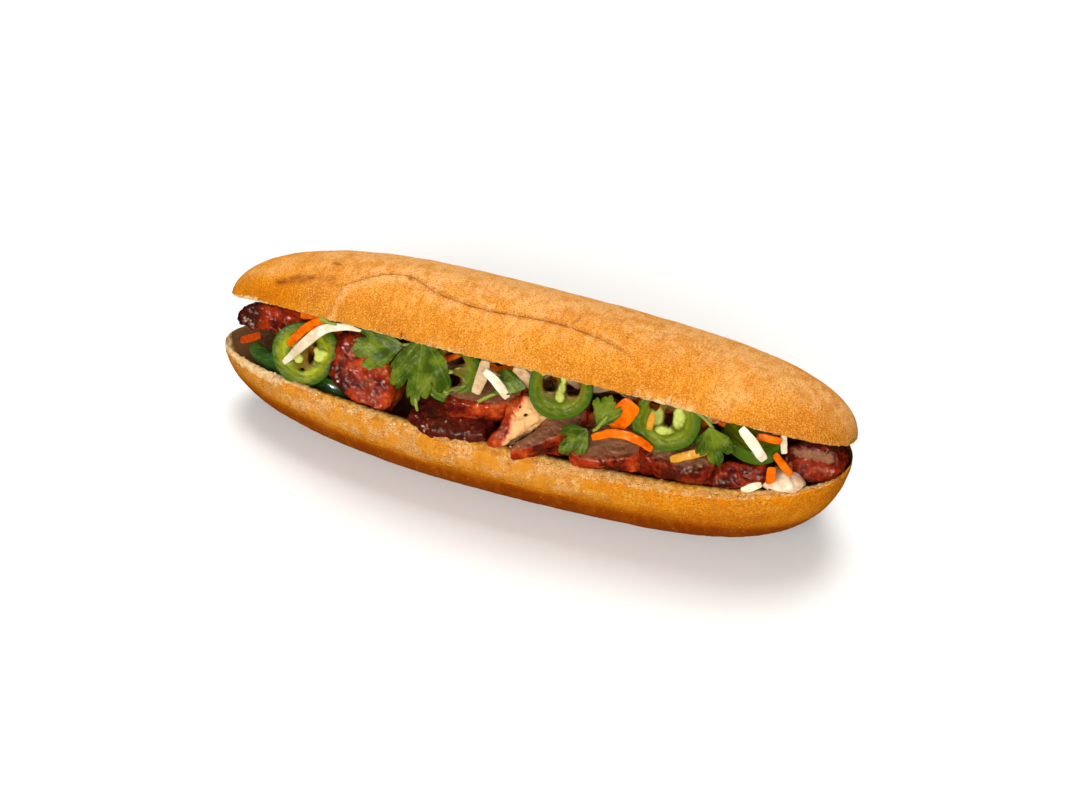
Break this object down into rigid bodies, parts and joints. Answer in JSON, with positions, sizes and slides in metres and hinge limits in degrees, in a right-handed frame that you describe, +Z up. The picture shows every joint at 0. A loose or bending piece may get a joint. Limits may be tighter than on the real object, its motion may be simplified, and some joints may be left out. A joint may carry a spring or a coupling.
{
  "type": "banh mi sandwich",
  "caption": "Crusty roll slit along one side and opened a little, filled with glazed roast pork, chilli rings, pickled carrot and daikon shreds, coriander, cucumber and mayonnaise.",
  "frame": {"origin": "on the surface the sandwich stands on, under the middle of its bounding box", "axes": "+Z up, +X along the loaf, -Y the way the open side faces"},
  "size_m": [0.2646, 0.0782, 0.0804],
  "materials": {
    "bread": "matte, finely blistered crust",
    "daikon": "wet, slightly clear",
    "carrot": "wet",
    "coriander": "soft sheen",
    "chilli": "wet flesh, glossy skin",
    "pork": "sticky glaze",
    "cucumber": "wet",
    "mayonnaise": "soft gloss",
    "pickle": "wet"
  },
  "bodies": {
    "root": {"bread": "bread", "daikon_1": "daikon", "daikon_2": "daikon", "daikon_3": "daikon", "daikon_4": "daikon", "daikon_5": "daikon", "daikon_6": "daikon", "daikon_7": "daikon", "daikon_8": "daikon", "carrot_1": "carrot", "carrot_2": "carrot", "carrot_3": "carrot", "carrot_4": "carrot", "carrot_5": "carrot", "carrot_6": "carrot", "carrot_7": "carrot", "carrot_8": "carrot", "carrot_9": "carrot", "coriander_1": "coriander", "coriander_2": "coriander", "coriander_3": "coriander", "coriander_4": "coriander", "coriander_5": "coriander", "coriander_6": "coriander", "chilli_1": "chilli", "chilli_2": "chilli", "chilli_3": "chilli", "chilli_4": "chilli", "chilli_5": "chilli", "pork_1": "pork", "pork_2": "pork", "pork_3": "pork", "pork_4": "pork", "pork_5": "pork", "pork_6": "pork", "pork_7": "pork", "pork_8": "pork", "pork_9": "pork", "pork_10": "pork", "cucumber": "cucumber", "mayonnaise": "mayonnaise", "pickle_heap": "pickle"}
  },
  "joints": []
}
